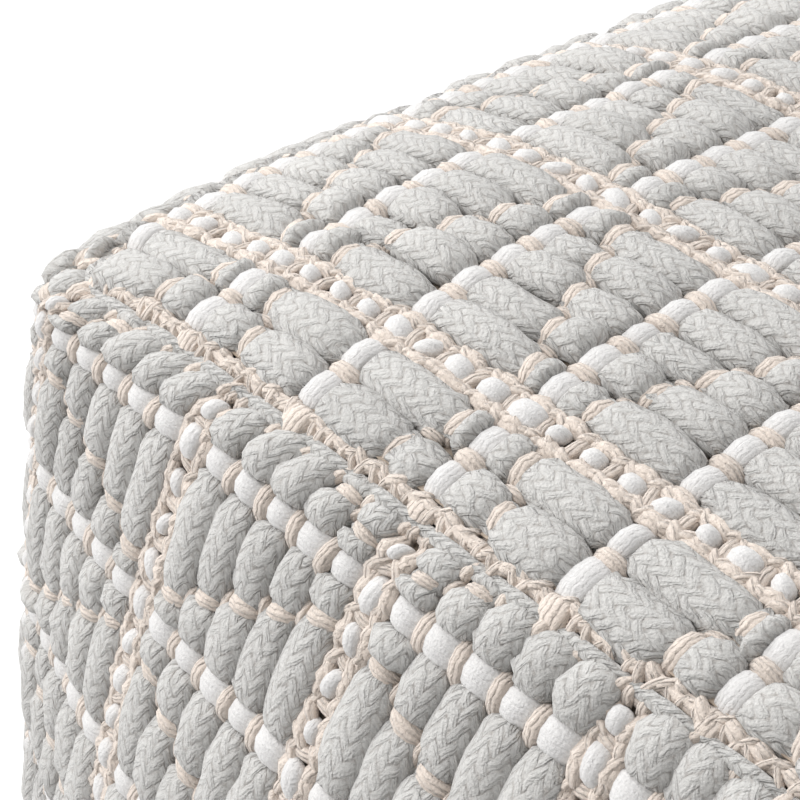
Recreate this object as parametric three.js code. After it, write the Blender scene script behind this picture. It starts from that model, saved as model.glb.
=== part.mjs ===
// Square floor pouf with a woven cotton cover, filled tight.
// Three filled solids meet at its two seams: a crowned top panel, the side band that turns
// all four corners, and a base panel that is flat where it rests.
// Millimetres, +Z up, origin at the centre of the base.

import * as THREE from 'three';

// Driving dimensions of the seams
const SEAM_HALF_WIDTH = 183; // centre to seam, at a corner's two sides
const SEAM_BOW = 2; // how far a seam bows out at the middle of a side
const SEAM_CORNER_RADIUS = 18;
const SEAM_CORNER_DIP = 6.5; // how far a seam dips from its level at each corner
const BASE_SEAM_HEIGHT = 13;
const SEAM_GAP = 0.3;

// Driving dimensions of the side band
const BAND_CLOTH_HEIGHT = 375; // length of cloth from seam to seam
const SHOULDER_RADIUS = 12.5;
const BELLY_ANGLE = 0.45; // slope from vertical where the shoulder ends, in radians
const BELLY_BOW = 50; // how far a side bows out at half height
const BELLY_CORNER_RADIUS = 48;
const MEAN_BOW_SHARE = 0.7; // part of the bow that the side has on average

// Driving dimensions of the two panels
const PANEL_EDGE = 4; // thickness of a panel's woven edge at its seam
const PANEL_CROWN = 20.5; // height of the crown over its seam
const CROWN_POWER = 6; // how flat the crown is in the middle
const CROWN_EASE = 1.4; // how softly it runs out at the seam
const CORNER_POWER = 6; // how close to the corners the dip stays

// How finely the surfaces are divided
const STEPS_PER_SIDE = 20;
const CORNER_CROWDING = 0.6; // share of the steps that crowd towards the corners
const SHOULDER_STEPS = 4;
const BELLY_STEPS = 7; // from shoulder to half height
const CAP_RINGS = [1, 0.88, 0.68];
const DOME_RINGS = [1, 0.98, 0.94, 0.89, 0.82, 0.73, 0.6, 0.42, 0.2];
const FOOT_RINGS = [0.5, 0.78, 0.85, 0.91, 0.96, 1];

const HALF_CLOTH = BAND_CLOTH_HEIGHT / 2;
const SHOULDER_LENGTH = SHOULDER_RADIUS * (Math.PI / 2 - BELLY_ANGLE);
const BELLY_LENGTH = HALF_CLOTH - SHOULDER_LENGTH;
const BELLY_RADIUS = BELLY_LENGTH / BELLY_ANGLE;
const SHOULDER_DROP = SHOULDER_RADIUS * (1 - Math.sin(BELLY_ANGLE));
const HALF_RISE = SHOULDER_DROP + BELLY_RADIUS * Math.sin(BELLY_ANGLE);
const TOP_SEAM_HEIGHT = BASE_SEAM_HEIGHT + 2 * HALF_RISE;

// The band's outline at a length of cloth from the nearer seam: two arcs, shoulder and belly
function bandOutline(length) {
  const onShoulder = length < SHOULDER_LENGTH;
  const slope = onShoulder
    ? Math.PI / 2 - length / SHOULDER_RADIUS
    : BELLY_ANGLE * (1 - (length - SHOULDER_LENGTH) / BELLY_LENGTH);
  const shoulderOut = SHOULDER_RADIUS * Math.cos(onShoulder ? slope : BELLY_ANGLE);
  const shoulderDrop = SHOULDER_RADIUS * (1 - Math.sin(onShoulder ? slope : BELLY_ANGLE));
  const bellyOut = onShoulder ? 0 : BELLY_RADIUS * (Math.cos(slope) - Math.cos(BELLY_ANGLE));
  const bellyDrop = onShoulder ? 0 : BELLY_RADIUS * (Math.sin(BELLY_ANGLE) - Math.sin(slope));
  const along = Math.max(0, (length - SHOULDER_LENGTH) / BELLY_LENGTH);
  const fullness = 1 - (1 - along) ** 2;
  const bow = SEAM_BOW + (BELLY_BOW - SEAM_BOW) * fullness;
  return {
    drop: shoulderDrop + bellyDrop,
    halfWidth: SEAM_HALF_WIDTH + shoulderOut + bellyOut - MEAN_BOW_SHARE * (bow - SEAM_BOW),
    bow,
    cornerRadius: SEAM_CORNER_RADIUS + (BELLY_CORNER_RADIUS - SEAM_CORNER_RADIUS) * fullness,
  };
}

// A level section: four bowed sides joined by corner arcs that are tangent to them.
// across runs from -1 to 1 between the corners of one side, by length along the outline.
function sidePoint(across, { halfWidth, bow, cornerRadius }) {
  const sideRadius = (halfWidth ** 2 + bow ** 2) / (2 * bow);
  const sideCentre = sideRadius - halfWidth - bow;
  const reach = Math.sqrt(2 * (sideRadius - cornerRadius) ** 2 - sideCentre ** 2);
  const cornerCentre = (reach - sideCentre) / 2;
  const turn = Math.atan2(cornerCentre, cornerCentre + sideCentre);
  const sideLength = sideRadius * turn;
  const cornerLength = cornerRadius * (Math.PI / 4 - turn);
  const length = Math.abs(across) * (sideLength + cornerLength);
  const onSide = length < sideLength;
  const angle = onSide ? length / sideRadius : turn + (length - sideLength) / cornerRadius;
  const x = onSide ? sideRadius * Math.sin(angle) : cornerCentre + cornerRadius * Math.sin(angle);
  const y = onSide
    ? sideCentre - sideRadius * Math.cos(angle)
    : -cornerCentre - cornerRadius * Math.cos(angle);
  return new THREE.Vector3(x * Math.sign(across), y, 0);
}

// The stations along one side, closer together near its corners
function stations() {
  return Array.from({ length: STEPS_PER_SIDE }, (_, i) => {
    const even = -1 + (2 * i) / STEPS_PER_SIDE;
    const crowded = Math.sin((even * Math.PI) / 2);
    return even * (1 - CORNER_CROWDING) + crowded * CORNER_CROWDING;
  });
}

// One closed ring of points: a section scaled towards the centre, at the height of each station
function ring(section, scale, heightAt) {
  const points = [];
  for (let side = 0; side < 4; side += 1) {
    for (const across of stations()) {
      const point = sidePoint(across, section).multiplyScalar(scale);
      point.applyAxisAngle(new THREE.Vector3(0, 0, 1), (side * Math.PI) / 2);
      point.z = heightAt(across);
      points.push(point);
    }
  }
  return points;
}

const SEAM_SECTION = bandOutline(0);

function cornerDip(scale, across) {
  return SEAM_CORNER_DIP * (scale * scale * Math.abs(across)) ** CORNER_POWER;
}

// The crown of a panel over its edge, from 1 in the middle to 0 at the seam
function crown(scale, across) {
  const ease = (share) => (1 - share ** CROWN_POWER) ** CROWN_EASE;
  return ease(scale) * ease(scale * Math.abs(across));
}

// A closed solid skinned over rings from its lowest centre to its highest. Each quad is split
// along its shorter diagonal, so that facing pieces fold alike and keep their gap.
function ringSolid(rings, bottomHeight, topHeight) {
  const count = rings[0].length;
  const points = [...rings.flat(), new THREE.Vector3(0, 0, bottomHeight), new THREE.Vector3(0, 0, topHeight)];
  const bottom = points.length - 2;
  const top = points.length - 1;
  const last = (rings.length - 1) * count;
  const index = [];
  for (let i = 0; i < count; i += 1) {
    const next = (i + 1) % count;
    index.push(bottom, next, i);
    for (let r = 0; r < last; r += count) {
      const [a, b, c, d] = [r + i, r + next, r + count + next, r + count + i];
      const alongAC = points[a].distanceTo(points[c]) < points[b].distanceTo(points[d]);
      index.push(...(alongAC ? [a, b, c, a, c, d] : [a, b, d, b, c, d]));
    }
    index.push(last + i, last + next, top);
  }
  const geometry = new THREE.BufferGeometry().setFromPoints(points);
  geometry.setIndex(index);
  geometry.computeVertexNormals();
  return geometry;
}

function sideBand() {
  const shoulder = Array.from({ length: SHOULDER_STEPS }, (_, i) => (i * SHOULDER_LENGTH) / SHOULDER_STEPS);
  const belly = Array.from({ length: BELLY_STEPS }, (_, i) => SHOULDER_LENGTH + (i * BELLY_LENGTH) / BELLY_STEPS);
  const lengths = [...shoulder, ...belly];
  const faded = (length, across) => cornerDip(1, across) * (1 - length / HALF_CLOTH);
  const lower = lengths.map((length) => {
    const section = bandOutline(length);
    return ring(section, 1, (across) => BASE_SEAM_HEIGHT + section.drop + faded(length, across));
  });
  const upper = lengths.map((length) => {
    const section = bandOutline(length);
    return ring(section, 1, (across) => TOP_SEAM_HEIGHT - section.drop - faded(length, across));
  });
  const middle = ring(bandOutline(HALF_CLOTH), 1, () => BASE_SEAM_HEIGHT + HALF_RISE);
  const inner = CAP_RINGS.slice(1);
  const floorCap = inner.map((scale) =>
    ring(SEAM_SECTION, scale, (across) => BASE_SEAM_HEIGHT + cornerDip(scale, across)));
  const topCap = inner.map((scale) =>
    ring(SEAM_SECTION, scale, (across) => TOP_SEAM_HEIGHT - cornerDip(scale, across)));
  const rings = [...floorCap.reverse(), ...lower, middle, ...upper.reverse(), ...topCap];
  return ringSolid(rings, BASE_SEAM_HEIGHT, TOP_SEAM_HEIGHT);
}

function topPanel() {
  const seat = TOP_SEAM_HEIGHT + SEAM_GAP;
  const rise = PANEL_CROWN - PANEL_EDGE;
  const under = CAP_RINGS.map((scale) =>
    ring(SEAM_SECTION, scale, (across) => seat - cornerDip(scale, across)));
  const dome = DOME_RINGS.map((scale) =>
    ring(SEAM_SECTION, scale, (across) =>
      TOP_SEAM_HEIGHT + PANEL_EDGE + rise * crown(scale, across) - cornerDip(scale, across)));
  return ringSolid([...under.reverse(), ...dome], seat, TOP_SEAM_HEIGHT + PANEL_CROWN);
}

function basePanel() {
  const seat = BASE_SEAM_HEIGHT - SEAM_GAP;
  const rise = PANEL_CROWN - PANEL_EDGE;
  const foot = FOOT_RINGS.map((scale) =>
    ring(SEAM_SECTION, scale, (across) =>
      Math.max(0, BASE_SEAM_HEIGHT - PANEL_EDGE - rise * crown(scale, across) + cornerDip(scale, across))));
  const over = CAP_RINGS.map((scale) =>
    ring(SEAM_SECTION, scale, (across) => seat + cornerDip(scale, across)));
  return ringSolid([...foot, ...over], 0, seat);
}

function wovenCloth(color) {
  return new THREE.MeshStandardMaterial({ color, roughness: 0.95, metalness: 0 });
}

function piece(name, geometry, color) {
  const mesh = new THREE.Mesh(geometry, wovenCloth(color));
  mesh.name = name;
  return mesh;
}

const pouf = new THREE.Group();
pouf.add(piece('base_panel', basePanel(), 0xc9c3bb));
pouf.add(piece('side_band', sideBand(), 0xc4c3bf));
pouf.add(piece('top_panel', topPanel(), 0xd3d0ca));

export default pouf;
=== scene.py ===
"""Dresses a square floor pouf in its woven cotton cover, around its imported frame.

The cover is one kind of cloth in three pieces: a top panel, a side band and a base panel. Thick
braided cords lie side by side in it, bound by lines of white yarn, by single beige yarns and by
thin bands of knotted beige and white. Each piece of cloth is worked out flat, in millimetres, by
two distances: along its cords and across them. A third number, the lift, is the height over the
outermost surface of the pouf, so most of the yarn has a lift below zero.
"""

import logging
import math
from dataclasses import dataclass
from enum import Enum
from typing import Sequence

import bpy
import numpy as np
from mathutils import Matrix, Vector


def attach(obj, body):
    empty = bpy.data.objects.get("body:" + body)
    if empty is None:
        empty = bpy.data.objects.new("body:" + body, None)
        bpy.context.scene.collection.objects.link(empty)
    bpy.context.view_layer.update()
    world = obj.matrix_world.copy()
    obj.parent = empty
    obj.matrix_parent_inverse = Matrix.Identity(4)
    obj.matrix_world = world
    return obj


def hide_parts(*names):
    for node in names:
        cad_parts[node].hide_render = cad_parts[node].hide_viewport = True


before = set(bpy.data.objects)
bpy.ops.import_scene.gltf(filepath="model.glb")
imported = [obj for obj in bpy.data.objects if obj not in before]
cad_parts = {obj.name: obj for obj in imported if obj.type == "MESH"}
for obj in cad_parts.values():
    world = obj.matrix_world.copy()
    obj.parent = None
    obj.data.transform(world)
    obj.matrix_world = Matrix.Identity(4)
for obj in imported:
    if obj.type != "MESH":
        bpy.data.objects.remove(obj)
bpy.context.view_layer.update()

LOG = logging.getLogger("woven_pouf")
MM = 0.001
BODY = "root"
WEAVE_MAP, SUNK, TONE = "Weave", "sunk", "tone"
QUARTER_TURN = math.pi / 2
Array = np.ndarray
Chance = np.random.Generator
Piece = bpy.types.Object
Group = bpy.types.NodeTree
Socket = bpy.types.NodeSocket
Takes = dict[str | int, object]
Pair = tuple[float, float]
Floats = tuple[float, ...]
Colour = tuple[float, float, float]


class Slot(Enum):
    """Names for the material slots of the three yarn finishes."""

    CORD = "cord_weave"
    BEIGE = "beige_yarn"
    WHITE = "white_yarn"


class Level(Enum):
    """Which of the two levels of a piece is meant."""

    TOP = "top"
    BASE = "base"

    @property
    def sign(self) -> int:
        """1 at the top and -1 at the base."""
        return 1 if self is Level.TOP else -1


def turned(x: Array, y: Array, turn: Array | float) -> tuple[Array, Array]:
    """Turns level places about the pouf's upright axis."""
    return x * np.cos(turn) - y * np.sin(turn), x * np.sin(turn) + y * np.cos(turn)


@dataclass(frozen=True)
class PoufForm:
    """The filled shape of the pouf in millimetres, as its solids in the frame have it."""

    seam_half_width: float = 183.0
    seam_bow: float = 2.0
    seam_corner_radius: float = 18.0
    seam_corner_dip: float = 6.5
    base_seam_height: float = 13.0
    band_cloth_height: float = 375.0
    shoulder_radius: float = 12.5
    belly_angle: float = 0.45
    belly_bow: float = 50.0
    belly_corner_radius: float = 48.0
    mean_bow_share: float = 0.7
    panel_edge: float = 4.0
    panel_crown: float = 20.5
    crown_power: float = 6.0
    crown_ease: float = 1.4
    corner_power: float = 6.0

    @property
    def side(self) -> float:
        """Length of one side at the seam, by cloth."""
        return 2 * self.seam_half_width

    @property
    def perimeter(self) -> float:
        """Length of the seam right round, by cloth."""
        return 4 * self.side

    @property
    def half_cloth(self) -> float:
        """Cloth from a seam to half height."""
        return self.band_cloth_height / 2

    @property
    def shoulder_length(self) -> float:
        """Cloth on the shoulder."""
        return self.shoulder_radius * (QUARTER_TURN - self.belly_angle)

    @property
    def belly_length(self) -> float:
        """Cloth from the shoulder to half height."""
        return self.half_cloth - self.shoulder_length

    @property
    def belly_radius(self) -> float:
        """Radius of the belly's arc."""
        return self.belly_length / self.belly_angle

    @property
    def top_seam_height(self) -> float:
        """Height of the top seam over the floor."""
        rise = self.shoulder_radius * (1 - math.sin(self.belly_angle))
        return self.base_seam_height + 2 * (rise + self.belly_radius * math.sin(self.belly_angle))

    def seam_height(self, level: Level) -> float:
        """Height of one of the two seams over the floor."""
        return self.top_seam_height if level is Level.TOP else self.base_seam_height

    def outline(self, length: Array) -> tuple[Array, ...]:
        """Works out the band's level section at a length of cloth from the nearer seam.

        Args:
            length: Cloth from the nearer seam.

        Returns:
            The drop below the seam, and the section's half width, bow and corner radius.
        """
        along = np.clip((length - self.shoulder_length) / self.belly_length, 0, 1)
        slope = QUARTER_TURN - length / self.shoulder_radius
        slope = np.where(length >= self.shoulder_length, self.belly_angle, slope)
        belly_slope = self.belly_angle * (1 - along)
        out = self.shoulder_radius * np.cos(slope)
        out = out + self.belly_radius * (np.cos(belly_slope) - math.cos(self.belly_angle))
        drop = self.shoulder_radius * (1 - np.sin(slope))
        drop = drop + self.belly_radius * (math.sin(self.belly_angle) - np.sin(belly_slope))
        fullness = 1 - (1 - along) ** 2
        bow = self.seam_bow + (self.belly_bow - self.seam_bow) * fullness
        half_width = self.seam_half_width + out - self.mean_bow_share * (bow - self.seam_bow)
        rounding = self.belly_corner_radius - self.seam_corner_radius
        return drop, half_width, bow, self.seam_corner_radius + rounding * fullness

    def side_point(
        self, across: Array, half_width: Array | float, bow: Array | float, corner_radius: Array | float
    ) -> tuple[Array, Array, Array]:
        """Finds a point on the side that faces -Y of a level section.

        Args:
            across: From -1 to 1 between the side's two corners, by length.
            half_width: From the centre to the corners' two sides.
            bow: How far the side bows out at its middle.
            corner_radius: Radius of the corner arcs.

        Returns:
            x, y and the angle of the outward normal from -Y.
        """
        side_radius = (half_width**2 + bow**2) / (2 * bow)
        side_centre = side_radius - half_width - bow
        reach = np.sqrt(2 * (side_radius - corner_radius) ** 2 - side_centre**2)
        corner_centre = (reach - side_centre) / 2
        turn = np.arctan2(corner_centre, corner_centre + side_centre)
        side_length = side_radius * turn
        length = np.abs(across) * (side_length + corner_radius * (math.pi / 4 - turn))
        past = length > side_length
        angle = np.where(past, turn + (length - side_length) / corner_radius, length / side_radius)
        radius = np.where(past, corner_radius, side_radius)
        x = np.where(past, corner_centre, 0) + radius * np.sin(angle)
        y = np.where(past, -corner_centre, side_centre) - radius * np.cos(angle)
        return x * np.sign(across), y, angle * np.sign(across)

    def seam_point(self, share: Array) -> tuple[Array, Array, Array]:
        """Finds a point on the seam's side that faces -Y, as side_point gives it."""
        return self.side_point(share, self.seam_half_width, self.seam_bow, self.seam_corner_radius)

    def place_on_side(self, around: Array) -> tuple[Array, Array]:
        """Number of the side at a length round the pouf, and the place on it from -1 to 1."""
        side = np.floor(around / self.side)
        return side, (around - side * self.side) / self.seam_half_width - 1

    def crown(self, share: Array) -> Array:
        """How much of a panel's crown is left at a share of the way to its seam."""
        return np.clip(1 - np.clip(share, 0, 1) ** self.crown_power, 0, 1) ** self.crown_ease

    def dip(self, share: Array) -> Array:
        """How far a seam dips at a share of the way from the middle of a side to its corner."""
        return self.seam_corner_dip * np.abs(share) ** self.corner_power


FORM = PoufForm()


class Cloth:
    """A piece of cloth on the pouf: it turns flat places into points in space."""

    probe = 0.4
    rest_depth = 0.0
    goes_round = False

    def point(self, along: Array, across: Array) -> Array:
        """Finds the points of the outermost surface at flat places, in millimetres."""
        raise NotImplementedError

    def place(self, along: Array, across: Array, lift: Array) -> Array:
        """Raises flat places by their lift, along the surface's outward normal.

        Args:
            along: Distance along the cords.
            across: Distance across the cords.
            lift: Height over the outermost surface.

        Returns:
            Points in space, in millimetres, with one more axis than the arguments.
        """
        along, across, lift = np.broadcast_arrays(along, across, lift)
        one = self.point(along + self.probe, across) - self.point(along - self.probe, across)
        two = self.point(along, across + self.probe) - self.point(along, across - self.probe)
        normal = np.cross(one, two)
        normal = normal / np.linalg.norm(normal, axis=-1, keepdims=True)
        return self.point(along, across) + normal * lift[..., None]


class BandCloth(Cloth):
    """The side band: along is down from the top seam, across is right round from the near corner."""

    def point(self, along: Array, across: Array) -> Array:
        """Finds the points of the band's outermost surface.

        Args:
            along: Distance down from the top seam.
            across: Distance round from the near corner.

        Returns:
            Points in millimetres.
        """
        side, share = FORM.place_on_side(across)
        upper = along < FORM.half_cloth
        length = np.where(upper, along, FORM.band_cloth_height - along)
        drop, *section = FORM.outline(length)
        x, y, _ = FORM.side_point(share, *section)
        dip = FORM.dip(share) * (1 - length / FORM.half_cloth)
        height = np.where(upper, FORM.top_seam_height - drop - dip, FORM.base_seam_height + drop + dip)
        return np.stack([*turned(x, y, side * QUARTER_TURN), height], -1)


class PanelCloth(Cloth):
    """The top or base panel: both distances start at the near corner's two seams."""

    def __init__(self, level: Level) -> None:
        """Tabulates the seam's outline by its angle from the middle of a side.

        Args:
            level: Which panel it is.
        """
        self.level = level
        self.samples = np.linspace(-1, 1, 401)
        x, y, _ = FORM.seam_point(self.samples)
        self.angles = np.arctan2(x, -y)
        self.radii = np.hypot(x, y)

    def point(self, along: Array, across: Array) -> Array:
        """Finds the points of the panel's outermost surface.

        Args:
            along: Distance along the cords from one seam.
            across: Distance across the cords from the seam beside it.

        Returns:
            Points in millimetres.
        """
        half = FORM.seam_half_width
        first = along / half - 1
        second = (across / half - 1) * self.level.sign
        x = first * (half + FORM.seam_bow * (1 - np.clip(second**2, 0, 1)))
        y = second * (half + FORM.seam_bow * (1 - np.clip(first**2, 0, 1)))
        far, near = np.maximum(np.abs(x), np.abs(y)), np.minimum(np.abs(x), np.abs(y))
        angle = np.arctan2(near, np.maximum(far, 1e-6))
        share = np.abs(np.interp(angle, self.angles, self.samples))
        scale = np.clip(np.hypot(x, y) / np.interp(angle, self.angles, self.radii), 0, 1)
        crown = (FORM.panel_crown - FORM.panel_edge) * FORM.crown(scale) * FORM.crown(scale * share)
        dip = FORM.dip(scale * scale * share)
        if self.level is Level.TOP:
            height = FORM.top_seam_height + FORM.panel_edge + crown - dip
        else:
            height = np.maximum(0, FORM.base_seam_height - FORM.panel_edge - crown + dip)
        return np.stack([x, y, height], -1)


class SeamEdge(Cloth):
    """The edge where a panel meets the band: along is round the seam, across is towards the panel."""

    lean = math.radians(48)
    end_drop = 2.2
    end_power = 30
    rest_depth = 2.6
    goes_round = True

    def __init__(self, level: Level) -> None:
        """Keeps which seam it is."""
        self.level = level

    def place(self, along: Array, across: Array, lift: Array) -> Array:
        """Places points beside the seam line, which lies lower where the panel's cords end.

        Args:
            along: Distance round the seam from the near corner.
            across: Distance up and inwards, towards the panel (at the base, towards the band).
            lift: Distance outwards and away from the pouf's middle height.

        Returns:
            Points in space, in millimetres.
        """
        along, across, lift = np.broadcast_arrays(along, across, lift)
        side, share = FORM.place_on_side(along)
        x, y, angle = FORM.seam_point(share)
        ends = np.where(side % 2 == 1, 1 - np.abs(share) ** self.end_power, 0)
        dip = FORM.dip(share) + self.end_drop * ends
        sign = self.level.sign
        inwards = across * math.sin(self.lean) * sign - lift * math.cos(self.lean)
        upwards = across * math.cos(self.lean) + lift * math.sin(self.lean) * sign
        height = FORM.seam_height(self.level) - sign * dip + upwards
        x = x - np.sin(angle) * inwards
        y = y + np.cos(angle) * inwards
        return np.stack([*turned(x, y, side * QUARTER_TURN), height], -1)


@dataclass(frozen=True)
class Weave:
    """The cloth's repeat, in millimetres."""

    cord_pitch: float = 9.8
    cords_between: int = 5
    least_cord: float = 0.4
    line_pitch: float = 37.5
    pebbles_per_line: int = 4
    binder_shares: Floats = (0.27, 0.40, 0.52, 0.65, 0.79)
    edge_clear: float = 2.0
    binder_clear: float = 3.4

    @property
    def pebble_step(self) -> float:
        """Distance between two pebbles of a thin band."""
        return self.line_pitch / self.pebbles_per_line


WEAVE = Weave()


@dataclass(frozen=True)
class Cord:
    """One thick cord of a cloth: where it lies and which place it has between its thin bands."""

    centre: float
    start: float
    end: float
    group: int
    index: int

    @property
    def has_next(self) -> bool:
        """Whether another cord lies beside it before the next thin band."""
        return self.index < WEAVE.cords_between - 1

    def holds(self, at: float, clear: float) -> bool:
        """Whether a place along it is clear of both of its ends."""
        return self.start + clear < at < self.end - clear


@dataclass(frozen=True)
class Layout:
    """Where the cords, white lines and thin bands of one piece of cloth lie, in millimetres."""

    first_line: float
    first_band: float
    length: float = FORM.side
    width: float = FORM.side
    band_pitch: float = 56.3
    corner_radius: float = FORM.seam_corner_radius
    wraps: bool = False
    tip: float = 0.0

    @property
    def band_half(self) -> float:
        """Half the width that a thin band leaves between its thick cords."""
        return (self.band_pitch - WEAVE.cords_between * WEAVE.cord_pitch) / 2

    @property
    def lines(self) -> Array:
        """Where the white lines cross the cords."""
        return np.arange(self.first_line, self.length - WEAVE.edge_clear, WEAVE.line_pitch)

    @property
    def bands(self) -> Array:
        """Works out where the thin bands lie.

        Returns:
            Their distances across.
        """
        if self.wraps:
            return self.first_band + self.band_pitch * np.arange(round(self.width / self.band_pitch))
        return np.arange(self.first_band, self.width - WEAVE.edge_clear, self.band_pitch)

    def trim(self, centre: float) -> float:
        """Works out how much a rounded corner takes off a row's ends.

        Args:
            centre: The row's distance across.

        Returns:
            The length that each end loses.
        """
        edge = min(centre, self.width - centre)
        if self.wraps or edge >= self.corner_radius:
            return 0.0
        rise = self.corner_radius - edge
        return self.corner_radius - math.sqrt(self.corner_radius**2 - rise**2)

    def cords(self) -> list[Cord]:
        """Lists the thick cords, between the thin bands and before the first one.

        Returns:
            The cords, in order across the cloth.
        """
        found = []
        margin = WEAVE.cord_pitch * WEAVE.least_cord
        before = [] if self.wraps else [self.bands[0] - self.band_pitch]
        for group, band in enumerate([*before, *self.bands], start=1 if self.wraps else 0):
            for index in range(WEAVE.cords_between):
                centre = band + self.band_half + WEAVE.cord_pitch * (index + 0.5)
                if self.wraps or margin < centre < self.width - margin:
                    trim = self.trim(centre) + self.tip
                    found.append(Cord(centre, trim, self.length - trim, group, index))
        return found

    def binders(self, cord: Cord) -> list[tuple[float, int]]:
        """Lists where single beige yarns cross a cord, once between two white lines.

        Args:
            cord: The cord.

        Returns:
            Of each, its place along the cord, and 1 or -1 for the way that its row steps.
        """
        found = []
        for block in range(-1, len(self.lines) + 1):
            way = 1 if (block + cord.group) % 2 else -1
            share = WEAVE.binder_shares[cord.index if way < 0 else -1 - cord.index]
            at = self.first_line + WEAVE.line_pitch * (block + share)
            if cord.holds(at, WEAVE.binder_clear):
                found.append((at, way))
        return found


TOP_LAYOUT = Layout(first_line=5.0, first_band=24.5)
BASE_LAYOUT = Layout(first_line=14.25, first_band=42.0)
BAND_LAYOUT = Layout(
    first_line=18.75,
    first_band=66.4,
    length=FORM.band_cloth_height,
    width=FORM.perimeter,
    band_pitch=FORM.perimeter / 26,
    wraps=True,
    tip=0.9,
)


def new_piece(name: str, mesh: bpy.types.Mesh, material: bpy.types.Material) -> Piece:
    """Makes a smooth piece that rides on the body.

    Args:
        name: The piece's name.
        mesh: Its mesh.
        material: The finish it wears.

    Returns:
        The new object.
    """
    mesh.polygons.foreach_set("use_smooth", np.ones(len(mesh.polygons), bool))
    mesh.materials.append(material)
    piece = bpy.data.objects.new(name, mesh)
    bpy.context.scene.collection.objects.link(piece)
    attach(piece, BODY)
    return piece


class YarnMesh:
    """Collects closed bundles of yarn as grids of points, and makes one mesh piece of them."""

    def __init__(self, name: str) -> None:
        """Starts an empty piece.

        Args:
            name: The piece's name.
        """
        self.name = name
        self.count = 0
        self.points: list[Array] = []
        self.values: list[Array] = []
        self.faces: list[tuple[Array, Array]] = []

    def add(
        self, cloth: Cloth, along: Array, across: Array, lift: Array, strands: Array, travel: Array,
        tone: Array | float,
    ) -> None:
        """Adds closed bundles that have the same numbers of rings and sides.

        Args:
            cloth: The cloth that they lie on.
            along: Places along it, by bundle (left out where it is only one), ring and side.
            across: Places across it.
            lift: Lifts of the places.
            strands: Pattern coordinate round a ring, with one value more than the ring has sides.
            travel: Pattern coordinate from ring to ring.
            tone: How light the places are, around 0.
        """
        points = cloth.place(along, across, lift)
        points = points.reshape(-1, *points.shape[-3:])
        bundles, rings, sides = shape = points.shape[:3]
        index = np.arange(bundles * rings * sides).reshape(shape) + self.count
        after = np.roll(index, -1, 2)
        quads = np.stack([index[:, :-1], index[:, 1:], after[:, 1:], after[:, :-1]], -1)
        weave = np.stack([np.broadcast_to(x, (bundles, rings, sides + 1)) for x in (strands, travel)], -1)
        maps = np.stack([weave[:, :-1, :-1], weave[:, 1:, :-1], weave[:, 1:, 1:], weave[:, :-1, 1:]], -2)
        self.faces.append((quads.reshape(-1, 4), maps.reshape(-1, 4, 2)))
        self.faces.append((index[:, 0], weave[:, 0, :-1]))
        self.faces.append((index[:, -1, ::-1], weave[:, -1, -2::-1]))
        self.points.append(points.reshape(-1, 3))
        # The sunk value sets how much shade the finishes paint into the colour, and how deep their relief is
        values = np.stack([np.broadcast_to(x, shape) for x in (cloth.rest_depth - lift, tone)], -1)
        self.values.append(values.reshape(-1, 2))
        self.count += index.size

    def make(self, material: bpy.types.Material, slot: Slot) -> Piece:
        """Makes the piece, at the origin, with its pattern map and its two attributes.

        Args:
            material: The finish it wears.
            slot: Not used.

        Returns:
            The new object, which rides on the body.
        """
        points = np.concatenate(self.points) * MM
        points[:, 2] = np.maximum(points[:, 2], 0)
        values = np.concatenate(self.values)
        corners = np.concatenate([f.ravel() for f, _ in self.faces])
        maps = np.concatenate([m.reshape(-1, 2) for _, m in self.faces])
        sizes = np.concatenate([np.full(len(f), f.shape[1]) for f, _ in self.faces])
        mesh = bpy.data.meshes.new(self.name)
        mesh.vertices.add(len(points))
        mesh.vertices.foreach_set("co", points.astype(np.float32).ravel())
        mesh.loops.add(len(corners))
        mesh.loops.foreach_set("vertex_index", corners.astype(np.int32))
        mesh.polygons.add(len(sizes))
        mesh.polygons.foreach_set("loop_start", (np.cumsum(sizes) - sizes).astype(np.int32))
        mesh.update(calc_edges=True)
        layer = mesh.uv_layers.new(name=WEAVE_MAP)
        layer.uv.foreach_set("vector", maps.astype(np.float32).ravel())
        for number, name in enumerate((SUNK, TONE)):
            attribute = mesh.attributes.new(name, "FLOAT", "POINT")
            attribute.data.foreach_set("value", values[:, number].astype(np.float32))
        LOG.info("%s: %d triangles", self.name, int((sizes - 2).sum()))
        return new_piece(self.name, mesh, material)


@dataclass(frozen=True)
class Fineness:
    """How finely one kind of stretch is divided."""

    long_grain: Floats
    short_grain: Floats
    pinch: Floats
    ring_angles: Floats
    bundle_rings: int
    bundle_rim: Floats
    pick_rings: int = 2
    pick_sides: int = 4


FINE = Fineness(
    long_grain=(-0.94, -0.8, -0.58, -0.2, 0.2, 0.58, 0.8, 0.94),
    short_grain=(-0.9, -0.6, 0.0, 0.6, 0.9),
    pinch=(-1.0, 0.0, 1.0),
    ring_angles=(-180, -122, -92, -62, -31, 0, 31, 62, 92, 122),
    bundle_rings=7,
    bundle_rim=(-1.0, -0.62, 0.0, 0.62, 1.0),
    pick_rings=4,
    pick_sides=6,
)
PLAIN = Fineness(
    long_grain=(-0.88, -0.5, 0.0, 0.5, 0.88),
    short_grain=(-0.75, 0.0, 0.75),
    pinch=(-1.0, 1.0),
    ring_angles=(-180, -105, -65, 0, 65, 105),
    bundle_rings=5,
    bundle_rim=(-1.0, -0.45, 0.45, 1.0),
)
COARSE = Fineness(
    long_grain=(-0.72, 0.0, 0.72),
    short_grain=(0.0,),
    pinch=(0.0,),
    ring_angles=(-180, -95, -35, 35, 95),
    bundle_rings=4,
    bundle_rim=(-1.0, 0.0, 1.0),
)


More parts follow.
